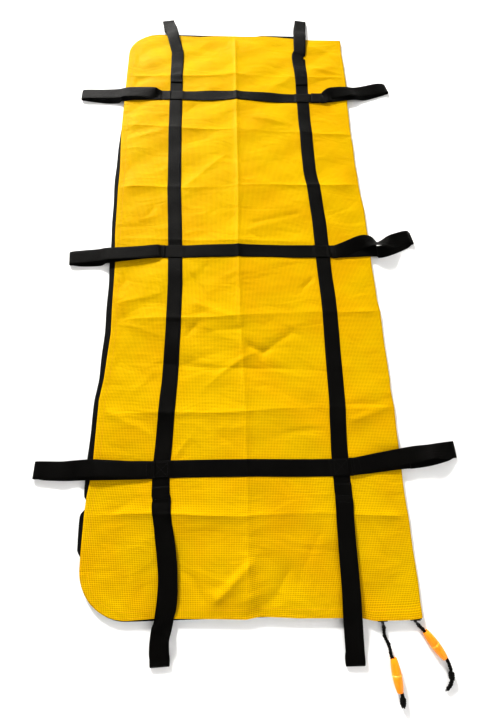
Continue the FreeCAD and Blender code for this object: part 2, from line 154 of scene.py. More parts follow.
def repeated(faces, count, size):
    """The same faces on each of several shapes that have size points."""
    return (np.array(faces)[None] + (np.arange(count) * size)[:, None, None]).reshape(-1, 4)


def no_uv(verts):
    return np.zeros((len(verts), 2))


def copies(row, count):
    return np.tile(row, (count, 1))


def unit(v):
    return v / np.maximum(np.linalg.norm(v, axis=-1, keepdims=True), 1e-12)


def along(points):
    """Distance along a line of points, and the unit direction at each."""
    step = np.linalg.norm(np.diff(points, axis=0), axis=1)
    return np.concatenate([[0], np.cumsum(step)]), unit(np.gradient(points, axis=0))


def sideways(line):
    """The direction to the right at each point of a flat line."""
    way = along(line)[1]
    return np.stack([way[:, 1], -way[:, 0]], -1)


def level(rows):
    """Flat directions as level directions in space."""
    return np.pad(rows, ((0, 0), (0, 1)))


def strip_uv(across, line):
    """uv of a strip: the place across it, and the distance along its line."""
    return np.stack(np.broadcast_arrays(across[None], along(line)[0][:, None]), -1)


def smooth_line(points, spacing):
    """A Catmull-Rom line through rows of numbers, evenly spaced by their first three."""
    p = np.asarray(points, float)
    p = np.concatenate([[2 * p[0] - p[1]], p, [2 * p[-1] - p[-2]]])
    t = np.linspace(0, 1, 24, endpoint=False)[:, None]
    out = []
    for a, b, c, d in zip(p, p[1:], p[2:], p[3:]):
        out.append(0.5 * (2 * b + (c - a) * t + (2 * a - 5 * b + 4 * c - d) * t**2
                          + (3 * b - a - 3 * c + d) * t**3))
    out = np.concatenate(out + [p[-2:-1]])
    s = along(out[:, :3])[0]
    even = np.linspace(0, s[-1], max(2, int(round(s[-1] / spacing)) + 1))
    return np.stack([np.interp(even, s, out[:, k]) for k in range(p.shape[1])], -1)


def smoothstep(x, a, b):
    t = np.clip((x - a) / (b - a), 0, 1)
    return t * t * (3 - 2 * t)


# ---- the shape of the lying cloth --------------------

# The crease down the middle
CREASE_Y = (-1.08, -0.88, -0.531, -0.221, 0.014, 0.306, 1.096)
CREASE_X = (-0.013, -0.007, -0.006, -0.015, -0.017, -0.011, -0.008)
# Bluntness of the sharp creases, and distance from a crest to the next line of points
SHARP, CREST_GAP = 0.0006, 0.0025
# Creases across from folding: y at the middle, slope, height, width
CROSS_CREASES = (
    (0.869, 0.02, 0.0100, 0.050), (0.569, -0.03, 0.0090, 0.055),
    (0.292, 0.03, 0.0115, 0.060), (0.050, -0.02, 0.0060, 0.035),
    (-0.243, 0.04, 0.0120, 0.055), (-0.426, -0.05, -0.0060, 0.035),
    (-0.566, 0.02, 0.0115, 0.055), (-0.866, -0.015, 0.0150, 0.060),
)
# Single folds: from, to, height, width
FOLDS = (
    ((-0.092, -1.078), (-0.011, -1.000), 0.0150, 0.012),
    ((-0.011, -1.000), (0.008, -1.100), 0.0130, 0.012),
    ((0.050, -1.095), (0.100, -1.015), -0.0065, 0.016),
    ((-0.017, -0.290), (0.015, -0.351), -0.0070, 0.010),
    ((0.015, -0.351), (0.056, -0.372), -0.0080, 0.010),
    ((0.056, -0.372), (0.151, -0.306), -0.0070, 0.012),
    ((-0.120, -0.300), (-0.017, -0.290), -0.0050, 0.012),
    ((-0.160, -0.200), (-0.040, -0.250), 0.0060, 0.012),
    ((0.290, -0.610), (0.440, -0.560), 0.0060, 0.012),
    ((-0.440, -0.560), (-0.280, -0.640), 0.0056, 0.014),
    ((-0.430, -0.200), (-0.290, -0.160), 0.0055, 0.012),
    ((0.060, 0.640), (0.180, 0.610), 0.0054, 0.010),
    ((-0.200, 0.300), (-0.060, 0.440), 0.0050, 0.016),
    ((0.320, 0.930), (0.440, 0.900), 0.0060, 0.012),
    ((-0.430, 0.520), (-0.300, 0.560), 0.0055, 0.012),
    ((0.040, 0.130), (0.200, 0.170), -0.0050, 0.013),
)
# Small wrinkles: place, turn, length, width and height of each
N_WRINKLES = 190
wrinkles = {
    "x": rng.uniform(-0.46, 0.46, N_WRINKLES), "y": rng.uniform(-1.12, 1.12, N_WRINKLES),
    "turn": rng.normal(0, 0.75, N_WRINKLES), "long": rng.uniform(0.03, 0.13, N_WRINKLES),
    "wide": rng.uniform(0.006, 0.016, N_WRINKLES),
    "high": rng.normal(0, 0.0022, N_WRINKLES),
}
# Low waves, long ones and short ones: tightness, two phases, height
waves = [
    (rng.uniform(least, most), rng.uniform(0, math.tau), rng.uniform(0, math.tau),
     rng.uniform(0.0003, high))
    for count, least, most, high in ((14, 8, 26, 0.0011), (16, 24, 58, 0.0009))
    for _ in range(count)
]
# How far the edges have pulled in or out along their length: the left, right, head and foot
# edges of the cloth, and the zip along the left edge
LEFT_Y = (-1.1, -0.951, -0.857, -0.811, -0.768, -0.703, -0.526, -0.459, -0.303, -0.213, -0.045,
          0.074, 0.267, 0.374, 0.543, 0.865, 1.1)
LEFT_IN = (-0.002, -0.006, -0.006, -0.004, 0.001, 0.005, 0.006, 0.015, 0.024, 0.021, 0.018, 0.009,
           0.005, 0.005, -0.003, -0.002, 0.0)
RIGHT_Y = (-1.1, -0.7, -0.466, -0.1, 0.2, 0.393, 0.573, 0.72, 0.9, 1.1)
RIGHT_OUT = (-0.005, -0.003, 0.002, -0.002, -0.002, -0.012, -0.010, -0.006, 0, 0.002)
HEAD_X = (-0.33, -0.248, -0.161, -0.104, 0.015, 0.126, 0.315, 0.459)
HEAD_IN = (-0.010, -0.012, -0.017, -0.011, -0.008, -0.003, -0.020, -0.018)
FOOT_X = (-0.33, -0.26, -0.171, -0.08, -0.02, 0.02, 0.123, 0.243, 0.33, 0.42, 0.45, 0.46)
FOOT_IN = (0.006, 0.009, 0.006, 0.003, 0.0, 0.006, -0.001, -0.004, -0.006, -0.006, -0.004, 0.001)
ZIP_Y = (-1.1, -0.951, -0.856, -0.803, -0.694, -0.525, -0.457, -0.3, -0.112, 0.094, 0.322, 0.553,
         1.1)
ZIP_IN = (-0.002, -0.003, -0.005, 0.0, 0.0015, 0.0055, 0.013, 0.0175, 0.0155, 0.0095, 0.0030,
          0.0070, 0.004)


def inside(x, y):
    """How far a flat point is inside the three zipped edges. Negative is outside."""
    ay = np.abs(y)
    plain = np.minimum(x + HALF_W, HALF_L - ay)
    cx, cy = x + HALF_W - CORNER_R, ay - (HALF_L - CORNER_R)
    corner = CORNER_R - np.hypot(cx, cy)
    return np.where((cx < 0) & (cy > 0), corner, plain)


def to_segment(x, y, a, b):
    """Distance to the straight piece from a to b."""
    ax, ay, bx, by = *a, *b
    t = np.clip(((x - ax) * (bx - ax) + (y - ay) * (by - ay))
                / ((bx - ax) ** 2 + (by - ay) ** 2), 0, 1)
    return np.hypot(x - ax - t * (bx - ax), y - ay - t * (by - ay))


def crest(d, wide, blunt=0.001):
    """1 on a crease, falling away with the distance d from it."""
    return np.exp((blunt - np.sqrt(d * d + blunt * blunt)) / wide)


def long_x(side, y):
    """Middle of a lengthwise strap, which wanders a little."""
    if side < 0:
        at = [-1.12, -1.07, -0.979, -0.896, -0.821, -0.738, -0.681, -0.461, -0.258,
              -0.116, 0.091, 0.273, 0.465, 0.684, 0.978, 1.12]
        off = [-0.234, -0.231, -0.237, -0.244, -0.254, -0.257, -0.253, -0.242, -0.237,
               -0.236, -0.241, -0.249, -0.252, -0.254, -0.255, -0.256]
    else:
        at = [-1.12, -1.085, -0.964, -0.832, -0.689, -0.535, -0.332, -0.185, -0.043,
              0.143, 0.28, 0.375, 0.526, 0.686, 0.916, 1.12]
        off = [0.266, 0.267, 0.268, 0.272, 0.273, 0.281, 0.285, 0.287, 0.284,
               0.282, 0.275, 0.268, 0.266, 0.266, 0.268, 0.270]
    return np.interp(y, at, off)


def to_long(x, y):
    """Distance to the middle of the nearer lengthwise strap."""
    return np.minimum(np.abs(x - long_x(-1, y)), np.abs(x - long_x(1, y)))


def under_straps(x, y):
    """1 under a strap, falling to 0 away from it."""
    near = to_long(x, y)
    for row in ROWS_Y:
        near = np.minimum(near, np.abs(y - row))
    return 1 - smoothstep(near, WEB_W / 2 + 0.002, WEB_W / 2 + 0.030)


def raised(x, y):
    """Height of the cloth's top above the flat stack, before the edges hold it."""
    c = x - np.interp(y, CREASE_Y, CREASE_X)
    lean = 0.75 + 0.25 * np.sin(2.1 * y + 0.6)
    tent = np.clip(1 - np.abs(c) / 0.20, 0, 1) ** 1.35
    z = lean * (0.0100 * tent + 0.0090 * crest(c, 0.0085, SHARP))
    for y0, slope, high, wide in CROSS_CREASES:
        fade = 0.62 + 0.38 * np.sin(9 * x + 40 * y0)
        across = y - y0 - crease_shape(x, y0, slope)
        ridge = 0.70 * crest(across, 0.8 * wide, SHARP) + 0.42 * crest(across, 0.008, SHARP)
        z = z + high * fade * ridge
    for k, a, b, high in waves:
        z = z + high * np.sin(0.6 * k * x + 3 * y + a) * np.sin(0.9 * k * y + 4 * x + b)
    small = np.zeros_like(z)
    for a, b, high, wide in FOLDS:
        small = small + high * crest(to_segment(x, y, a, b), wide)
    for x0, y0, turn, long, wide, high in zip(*wrinkles.values()):
        ux, uy = math.cos(turn), math.sin(turn)
        px, py = x - x0, y - y0
        u, v = px * ux + py * uy, -px * uy + py * ux
        v = v + 0.9 * u * u
        small = small + high * np.exp(-(u / long) ** 2) * crest(v, wide, 0.002)
    z = z + small * (1 - 0.93 * under_straps(x, y))
    return np.where(z > 0, z / (1 + np.clip(z, 0, None) / 0.06), z)


def cloth_top(x, y):
    """Height of the top of the harness cloth at a flat point."""
    x, y = np.asarray(x, float), np.asarray(y, float)
    edge = np.clip(inside(x, y), 0, None)
    hold = 0.12 + 0.88 * smoothstep(edge, 0.0, 0.055)
    hold = hold * (0.25 + 0.75 * smoothstep(FOLD_X - x, -0.002, 0.05))
    hem = 0.0004 * (1 - smoothstep(edge, 0.019, 0.023))
    z = TOP_Z - 0.0009 + hem + hold * (0.84 * raised(x, y) + 0.000064)
    z = z + 0.0016 * near_sliders(x, y)
    low = 0.0128 - 0.0056 * smoothstep(edge, 0.028, 0.060)
    return np.clip(z, low, CLOTH_MAX_Z)


def near_sliders(x, y):
    """1 at the foot edge by the sliders, where the cloth hangs over them."""
    return smoothstep(x, 0.28, 0.33) * smoothstep(-y, 1.085, 1.12)


def shifted(x, y, over=0.007):
    """Where a flat point of the cloth lies once its edges have pulled in."""
    t = np.clip((x + HALF_W) / (2 * HALF_W), 0, 1)
    w = np.clip(np.abs(y) / HALF_L, 0, 1) ** 6
    dx = (1 - t) ** 8 * np.interp(y, LEFT_Y, LEFT_IN) + t**8 * np.interp(y, RIGHT_Y, RIGHT_OUT)
    dy = np.where(y > 0, np.interp(x, HEAD_X, HEAD_IN), np.interp(x, FOOT_X, FOOT_IN)) * w
    return x + dx, y + dy - over * near_sliders(x, y)


def on_cloth(x, y, lift):
    """Points on the lying cloth, some way above it."""
    sx, sy = shifted(x, y)
    return np.stack([sx, sy, cloth_top(x, y) + lift], -1)


def rows_of_cloth(step):
    """y of each row of the grid. Rows bunch up where the corners are round and at creases."""
    plain = HALF_L - CORNER_R
    bend = plain + CORNER_R * np.sin(np.linspace(0, math.pi / 2, 24))
    straight = np.linspace(-plain, plain, int(2 * plain / step))
    rows = np.concatenate([-bend[:0:-1], straight, bend[1:]])
    crests = np.array([c[0] for c in CROSS_CREASES])
    rows = rows[np.abs(rows[:, None] - crests).min(1) > 0.0045]
    return np.sort(np.concatenate([rows, crests, crests - CREST_GAP, crests + CREST_GAP]))


def left_edge_of(y):
    over = np.clip(np.abs(y) - (HALF_L - CORNER_R), 0, CORNER_R)
    return -HALF_W + CORNER_R - np.sqrt(np.clip(CORNER_R**2 - over**2, 0, None))


def crease_shape(x, y0, slope):
    """How far a crosswise crease strays from its straight line."""
    return slope * x + 0.004 * np.sin(13 * x + y0)


def cloth_grid(step):
    """Flat points in rows and columns, with lines of points along the long creases."""
    y = rows_of_cloth(step)[:, None]
    left, middle = left_edge_of(y), np.interp(y, CREASE_Y, CREASE_X)
    share_l = np.linspace(0, 1, int(HALF_W / step))
    share_r = np.linspace(0, 1, int(FOLD_X / step))
    x = np.concatenate([
        left + share_l * (middle - CREST_GAP - left), middle,
        middle + CREST_GAP + share_r * (FOLD_X - middle - CREST_GAP)], 1)
    y = np.repeat(y, x.shape[1], 1)
    bent = y.copy()
    for y0, slope, _, _ in CROSS_CREASES:
        bent += crease_shape(x, y0, slope) * np.exp(-((y - y0) / 0.05) ** 2)
    return x, bent


# ---- materials --------------------


class Nodes:
    """Short calls for building a material's nodes."""

    def __init__(self, name):
        self.mat = bpy.data.materials.new(name)
        self.mat.use_nodes = True
        self.tree = self.mat.node_tree
        self.shader = self.tree.nodes["Principled BSDF"]

    def add(self, kind, **values):
        node = self.tree.nodes.new(kind)
        for key, value in values.items():
            setattr(node, key, value)
        return node

    def link(self, a, b):
        self.tree.links.new(a, b)

    def feed(self, socket, value):
        if isinstance(value, (int, float)):
            socket.default_value = value
        else:
            self.link(value, socket)

    def math(self, operation, a, b=0.0):
        node = self.add("ShaderNodeMath", operation=operation)
        self.feed(node.inputs[0], a)
        self.feed(node.inputs[1], b)
        return node.outputs[0]

    def ramp(self, value, low, high):
        node = self.add("ShaderNodeMapRange", interpolation_type="SMOOTHSTEP")
        self.feed(node.inputs["Value"], value)
        node.inputs["From Min"].default_value = low
        node.inputs["From Max"].default_value = high
        return node.outputs["Result"]

    def noise(self, scale, detail=2.0, vector=None, twist=0.0):
        node = self.add("ShaderNodeTexNoise")
        node.inputs["Distortion"].default_value = twist
        node.inputs["Scale"].default_value = scale
        node.inputs["Detail"].default_value = detail
        place = vector or self.add("ShaderNodeTexCoord").outputs["Object"]
        self.link(place, node.inputs["Vector"])
        return node.outputs["Fac"]

    def stretched(self, u, v, per_u, per_v):
        """A place for noise that is stretched along or across the cloth."""
        node = self.add("ShaderNodeCombineXYZ")
        self.link(self.math("MULTIPLY", u, per_u), node.inputs[0])
        self.link(self.math("MULTIPLY", v, per_v), node.inputs[1])
        return node.outputs[0]

    def mix(self, factor, a, b):
        node = self.add("ShaderNodeMix", data_type="RGBA")
        self.feed(node.inputs[0], factor)
        for socket, value in ((node.inputs[6], a), (node.inputs[7], b)):
            if isinstance(value, tuple):
                socket.default_value = (*value, 1.0)
            else:
                self.link(value, socket)
        return node.outputs[2]

    def bump(self, height, strength, distance, normal=None):
        node = self.add("ShaderNodeBump")
        node.inputs["Strength"].default_value = strength
        node.inputs["Distance"].default_value = distance
        self.link(height, node.inputs["Height"])
        if normal is not None:
            self.link(normal, node.inputs["Normal"])
        return node.outputs["Normal"]

    def set(self, **values):
        for key, value in values.items():
            socket = self.shader.inputs[key.replace("_", " ")]
            if isinstance(value, tuple):
                socket.default_value = (*value, 1.0) if len(value) == 3 else value
            else:
                self.feed(socket, value)
        return self.mat


def flat_place(m):
    """The two flat-cloth coordinates, in metres."""
    split = m.add("ShaderNodeSeparateXYZ")
    m.link(m.add("ShaderNodeUVMap", uv_map="flat").outputs[0], split.inputs[0])
    return split.outputs[0], split.outputs[1]


def cloth_material(name, thread, hole):
    m = Nodes(name)
    u, v = flat_place(m)
    half = MESH_PITCH / 2
    across = m.ramp(m.math("PINGPONG", u, half), half * 0.52, half * 0.92)
    down = m.ramp(m.math("PINGPONG", v, half), half * 0.52, half * 0.92)
    holes = m.math("MULTIPLY", m.math("SUBTRACT", 1.0, across), m.math("SUBTRACT", 1.0, down))
    grid = m.math("SUBTRACT", 1.0, holes)
    warm = m.ramp(m.noise(4.5, 3.0), 0.35, 0.70)
    shade = m.mix(warm, thread, tuple(c * k for c, k in zip(thread, (0.99, 0.88, 1.0))))
    colour = m.mix(m.math("MULTIPLY", holes, 0.62), shade, hole)
    crumple = m.noise(1.0, 2.0, m.stretched(u, v, 6.0, 13.0), 1.2)
    creased = m.noise(1.0, 3.0, m.stretched(u, v, 22.0, 30.0), 0.8)
    normal = m.bump(crumple, 0.20, 0.024)
    normal = m.bump(creased, 0.20, 0.0045, normal)
    normal = m.bump(grid, 0.45, 0.0006, normal)
    return m.set(Base_Color=colour, Roughness=0.50, Normal=normal, Specular_IOR_Level=0.03)


def web_material(name, dark, light):
    m = Nodes(name)
    u, v = flat_place(m)
    slant = m.math("ADD", v, m.math("MULTIPLY", m.math("PINGPONG", u, 0.0042), 0.9))
    rib = m.ramp(m.math("PINGPONG", slant, 0.00085), 0.0, 0.0008)
    edge = m.ramp(m.math("PINGPONG", u, 0.00045), 0.0, 0.00042)
    weave = m.math("ADD", m.math("MULTIPLY", rib, 0.75), m.math("MULTIPLY", edge, 0.25))
    worn = m.ramp(m.noise(11.0, 3.0), 0.45, 0.75)
    base = m.mix(weave, dark, light)
    colour = m.mix(m.math("MULTIPLY", worn, 0.30), base, tuple(1.8 * c for c in light))
    normal = m.bump(weave, 0.55, 0.0005)
    return m.set(Base_Color=colour, Roughness=0.50, Normal=normal, Specular_IOR_Level=0.07)


def plain_material(name, dark, light, rough, scale=60.0, bump=0.15, **more):
    """A material whose colour and surface vary a little by noise."""
    m = Nodes(name)
    spots = m.noise(scale, 3.0)
    colour = m.mix(m.ramp(spots, 0.35, 0.7), dark, light)
    normal = m.bump(m.noise(scale * 9, 2.0), bump, 0.0004)
    return m.set(Base_Color=colour, Roughness=rough, Normal=normal, **more)


def grey(value):
    return (value,) * 3


def make_materials():
    """Each material by its key: dark and light colour, roughness, scale of the spots, bump."""
    return {
        "cloth": cloth_material("yellow_mesh", (0.69, 0.455, 0.0), (0.26, 0.155, 0.002)),
        "lid": cloth_material("lid_mesh", (0.86, 0.46, 0.0), (0.40, 0.18, 0.0)),
        "web": web_material("black_webbing", (0.0018, 0.0016, 0.0014), (0.0060, 0.0054, 0.0046)),
        "thread": plain_material("black_thread", grey(0.003), (0.011, 0.011, 0.012), 0.5, 300.0,
                                 Specular_IOR_Level=0.2),
        "hem_thread": plain_material("amber_thread", (0.60, 0.27, 0.0), (0.80, 0.40, 0.01),
                                     0.6, 300.0),
        "tape": plain_material("zip_tape", grey(0.003), grey(0.009), 0.75, 200.0, 0.4,
                               Specular_IOR_Level=0.15),
        "coil": plain_material("zip_coil", grey(0.004), (0.014, 0.014, 0.015), 0.38, 120.0,
                               Specular_IOR_Level=0.3),
        "metal": plain_material("black_enamel", (0.012, 0.012, 0.013), (0.03, 0.03, 0.032),
                                0.33, 90.0, 0.08, Metallic=0.55),
        "cord": plain_material("black_cord", (0.0018, 0.0015, 0.0012), (0.010, 0.009, 0.008),
                               0.65, 420.0, 0.8, Specular_IOR_Level=0.15),
        "float": plain_material("orange_float", (0.95, 0.27, 0.0), (1.0, 0.33, 0.0),
                                0.28, 40.0, 0.05, Subsurface_Weight=0.12,
                                Subsurface_Scale=0.003, Coat_Weight=0.15),
        "band": plain_material("amber_band", (1.0, 0.48, 0.05), (1.0, 0.58, 0.12),
                               0.22, 40.0, 0.05, Subsurface_Weight=0.35,
                               Subsurface_Scale=0.004),
        "floor": plain_material("pale_floor", grey(0.90), grey(0.91), 0.8, 3.0, 0.02),
    }


def paint(obj, key):
    obj.data.materials.clear()
    obj.data.materials.append(materials[key])
    return obj


def piece(name, mesh, key, smooth=True):
    """A painted mesh object from its vertices, faces and uv."""
    return paint(mesh_object(name, *mesh, smooth=smooth), key)


def fold_blend(obj):
    """A piece across the middle crease, with its placement baked into its mesh."""
    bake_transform(obj)
    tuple(FOLD_START)
    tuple(FOLD_END)


# ---- cloth pieces --------------------


def harness_cloth():
    """The top layer with the fold that leads down to the lid on the right."""
    x, y = cloth_grid(0.0058)
    top = on_cloth(x, y, 0.0)
    bottom = top - UP * CLOTH_T
    edge = top[:, -1]
    turn = np.linspace(0, math.pi, 10)[1:]
    mid = (edge[:, 2:3] - CLOTH_T / 2 + 0.0008) / 2
    half = (edge[:, 2:3] - CLOTH_T / 2 - 0.0008) / 2
    roll = 1 + 0.25 * np.sin(17 * y[:, :1]) + 0.15 * np.sin(41 * y[:, :1])

    def arc(radius):
        ax = edge[:, :1] + radius * np.sin(turn) * roll
        ay = np.repeat(edge[:, 1:2], len(turn), 1)
        return np.stack([ax, ay, mid + radius * np.cos(turn)], -1)

    top = np.concatenate([top, arc(half + CLOTH_T / 2)], 1)
    bottom = np.concatenate([bottom, arc(half - CLOTH_T / 2)], 1)
    far = FOLD_X + math.pi * FOLD_R * np.arange(1, len(turn) + 1) / len(turn)
    u = np.concatenate([x, copies(far, len(x))], 1)
    v = np.concatenate([y, np.repeat(y[:, -1:], len(turn), 1)], 1)
    mesh = thick_grid(top, bottom, np.stack([u, v], -1))
    obj = piece("harness_cloth", mesh, "cloth")
    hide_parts("harness_panel_left", "harness_panel_right", "harness_hem_left",
                "harness_hem_right", "side_fold")
    fold_blend(obj)


def lid_top(x, y):
    """Height of the lid's top, which is lower near the zipped edges."""
    z = 0.0026 + 0.0006 * np.sin(23 * x + 2) * np.sin(11 * y) + 0.0005 * np.sin(31 * y + 9 * x)
    c = x - np.interp(y, CREASE_Y, CREASE_X)
    z = np.clip(z + 0.0012 * crest(c, 0.012), 0.0014, 0.004)
    return np.minimum(z, 0.0018 + 0.0022 * smoothstep(inside(x, y), 0.030, 0.055))


def lid_cloth():
    """The bottom layer, flat on the floor."""
    x, y = cloth_grid(0.011)
    sx, sy = shifted(x, y, 0.0)
    top = np.stack([sx, sy, lid_top(x, y)], -1)
    mesh = thick_grid(top, top - UP * CLOTH_T, np.stack([x, y], -1))
    obj = piece("lid_cloth", mesh, "lid")
    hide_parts("lid_panel", "lid_hem")
    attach(obj, "base")


def head_seam():
    """The folded seam that closes the head edge past the zip."""
    x = np.linspace(0.310, FOLD_X - 0.004, 26)[:, None]
    z, turn = np.linspace(0.0022, 0.0118, 7)[None], np.linspace(0, math.pi, 7)[None]
    sx, sy = shifted(x, np.full_like(x, HALF_L))
    bulge = 0.0016 * np.sin(turn) * (1 + 0.3 * np.sin(60 * x))
    front = np.stack(np.broadcast_arrays(sx, sy - 0.002 + bulge, z), -1)
    uv = np.stack(np.broadcast_arrays(x, z), -1)
    mesh = thick_grid(front, front - [0, 0.0024, 0], uv)
    obj = piece("head_seam_cloth", mesh, "cloth")
    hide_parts("head_seam")
    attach(obj, "base")


def edge_line(offset, start_x, end_x, step):
    """Points of the C line moved outwards, and its outward directions.

    The C line runs along the foot, left and head edges of the flat cloth.
    """
    r = CORNER_R + offset
    x0, y0 = -HALF_W - offset, HALF_L + offset
    turn = np.linspace(0, math.pi / 2, 60)[1:-1]
    foot = [(x, -y0) for x in np.arange(start_x, x0 + r, -step)]
    corner_a = [(x0 + r - r * math.sin(t), -y0 + r - r * math.cos(t)) for t in turn]
    side = [(x0, y) for y in np.arange(-y0 + r, y0 - r, step)]
    corner_b = [(x0 + r - r * math.cos(t), y0 - r + r * math.sin(t)) for t in turn]
    head = [(x, y0) for x in np.arange(x0 + r, end_x, step)]
    line = np.array(foot + corner_a + side + corner_b + head)
    s, _ = along(line)
    even = np.arange(0, s[-1], step)
    line = np.stack([np.interp(even, s, line[:, 0]), np.interp(even, s, line[:, 1])], -1)
    return line, -sideways(line)


def zip_shift(line, out):
    """The zip shows along the left side and is tucked under the cloth elsewhere."""
    x, y = line[:, 0], line[:, 1]
    left = smoothstep(-x, 0.40, 0.455)
    side = left * smoothstep(y, -0.985, -0.945) * (1 - smoothstep(y, 0.54, 0.63))
    side = side * (1 - np.exp(-((y + 0.830) / 0.016) ** 2))
    head = 0.50 * smoothstep(x, 0.07, 0.12) * (y > 1)
    foot = 0.88 * smoothstep(x, 0.285, 0.315) * (y < -1)
    shown = np.maximum(side, np.maximum(head, foot))
    pull = (np.interp(y, ZIP_Y, ZIP_IN) + 0.0007 * np.sin(y * 37)) * side
    return np.stack([pull, np.zeros(len(line))], -1) - out * (TUCKED * (1 - shown))[:, None]


# The tape's cross-section: places out from the cloth's edge, and thickness
TAPE_ACROSS = np.array([-0.012, -0.003, 0.004, 0.0095, 0.0128])
TAPE_T = 0.0007
# x where tape and coil start at the foot and end at the head
TAPE_ENDS, COIL_ENDS = (0.4507, 0.309), (0.4462, 0.3046)
# How far the zip is pulled in where the cloth hides it, and the radius of the coil's core
TUCKED, CORE_R = 0.017, 0.0009


def zip_line(ends, step):
    """The C line, the same line as the zip lies, and the outward directions."""
    line, out = edge_line(0.0, *ends, step)
    return line, line + zip_shift(line, out), out


def at_heights(flat, heights):
    """Rows of flat points with a height for each point of a row."""
    z = np.broadcast_to(np.asarray(heights)[None, :, None], (*flat.shape[:2], 1))
    return np.concatenate([flat, z], -1)


def zip_tape(heights):
    """A strip of tape along the zip's line. heights go across it."""
    line, base, out = zip_line(TAPE_ENDS, 0.006)
    top = at_heights(base[:, None] + out[:, None] * TAPE_ACROSS[:, None], heights)
    return thick_grid(top, top - UP * TAPE_T, strip_uv(TAPE_ACROSS, line))


def coil_teeth(low, high):
    """The turns of one coil: a row of small bent blocks along the tape's edge."""
    line, base, out = zip_line(COIL_ENDS, 0.0024)
    way = along(line)[1]
    ring = np.array([(-0.00062, 0.0100), (0.00062, 0.0102), (0.00068, 0.0128),
                     (0.00030, 0.0138), (-0.00030, 0.0138), (-0.00068, 0.0128)])
    flat = base[:, None] + way[:, None] * ring[:, 0:1] + out[:, None] * ring[:, 1:2]
    lean = np.array([0, 0, 0, -0.25, -0.25, 0]) * (high - low)
    upper, lower = at_heights(flat, high + lean), at_heights(flat, low - lean)
    verts = np.concatenate([upper, lower], 1).reshape(-1, 3)
    k = len(ring)
    walls = [[(i + 1) % k, i, i + k, (i + 1) % k + k] for i in range(k)]
    caps = [[0, 1, 2, 5], [5, 2, 3, 4], [11, 8, 7, 6], [10, 9, 8, 11]]
    return verts, repeated(walls + caps, len(line), 2 * k), no_uv(verts)


def coil_core(z):
    """The cord that the coil's turns are wound on."""
    line, base, out = zip_line(COIL_ENDS, 0.006)
    turn = np.linspace(0, math.tau, 7)[:-1]
    away = 0.0118 + CORE_R * np.cos(turn)
    flat = base[:, None] + out[:, None] * away[:, None]
    verts = at_heights(flat, z + CORE_R * np.sin(turn)).reshape(-1, 3)
    n, k = len(line), len(turn)
    caps = np.array([[0, 1, 2, 3], [0, 3, 4, 5]])
    faces = np.concatenate([ring_faces(n, k), caps[:, ::-1], caps + (n - 1) * k])
    return verts, faces, no_uv(verts)


def zip_pieces():
    """The tapes and coils: the upper pair is on the harness cloth, the lower on the lid."""
    tape = zip_tape([0.0111, 0.0111, 0.0112, 0.0111, 0.0110])
    upper_tape = piece("upper_zip_tape", tape, "tape")
    tape = zip_tape([0.0032] * len(TAPE_ACROSS))
    lower_tape = piece("lower_zip_tape", tape, "tape")
    coil = joined([coil_teeth(0.0077, 0.0102), coil_core(0.0092)])
    upper_coil = piece("upper_zip_coil", coil, "coil", smooth=False)
    coil = joined([coil_teeth(0.0033, 0.0059), coil_core(0.0044)])
    lower_coil = piece("lower_zip_coil", coil, "coil", smooth=False)
    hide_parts("zip_tape_left", "zip_tape_right")
    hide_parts("zip_coil_left", "zip_coil_right")
    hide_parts("zip_tape_lid")
    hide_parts("zip_coil_lid")
    fold_blend(upper_tape)
    fold_blend(upper_coil)
    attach(lower_tape, "base")
    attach(lower_coil, "base")


def dashes(points, across, normal, wide, high, lit, gap):
    """A row of stitches along a line of points."""
    s = along(points)[0]
    starts = np.arange(gap, s[-1] - lit, lit + gap)

    def pick(at, rows):
        return np.stack([np.interp(at, s, rows[:, k]) for k in range(3)], -1)

    rings = []
    for share, tall in ((0.0, 0.15), (0.25, 1.0), (0.75, 1.0), (1.0, 0.15)):
        p, a, n = (pick(starts + share * lit, rows) for rows in (points, across, normal))
        for side in (-1, 1):
            rings.append(p + a * side * wide / 2 - n * 0.0002)
            rings.append(p + a * side * wide / 3 + n * high * tall)
    verts = np.stack(rings, 1).reshape(-1, 3)
    faces = []
    for k in range(3):
        a, b = 4 * k, 4 * k + 4
        faces += [[a + 1, a + 3, b + 3, b + 1], [a, a + 1, b + 1, b], [a + 3, a + 2, b + 2, b + 3],
                  [a + 2, a, b, b + 2]]
    faces += [[0, 2, 3, 1], [12, 13, 15, 14]]
    return verts, repeated(faces, len(starts), 16), no_uv(verts)


def hem_stitches():
    """The two stitch lines round the zipped edges, 4.5 and 20.5 mm in."""
    parts = []
    for inset in (0.0045, 0.0205):
        line, out = edge_line(-inset, FOLD_X - 0.004, FOLD_X - 0.004, 0.004)
        points = on_cloth(line[:, 0], line[:, 1], 0.0)
        parts.append(dashes(points, level(out), copies(UP, len(out)), *HEM_STITCH))
    fold_blend(piece("hem_stitches", joined(parts), "hem_thread"))


# ---- webbing --------------------

# The webbing's cross-section: places across it, and half its thickness there
STRIP = np.array([-1.0, -0.93, -0.62, -0.3, 0.0, 0.3, 0.62, 0.93, 1.0]) * WEB_W / 2
CUP = np.array([-0.00055, 0.0, 0.00004, 0.00002, 0.0, 0.00002, 0.00004, 0.0, -0.00055])
HALF_T = (WEB_T / 2 + CUP)[:, None]
# Gap between the cloth and a sewn strap, and from a strap's edge to its stitches
SEWN_GAP, STITCH_INSET = 0.0003, 0.0035


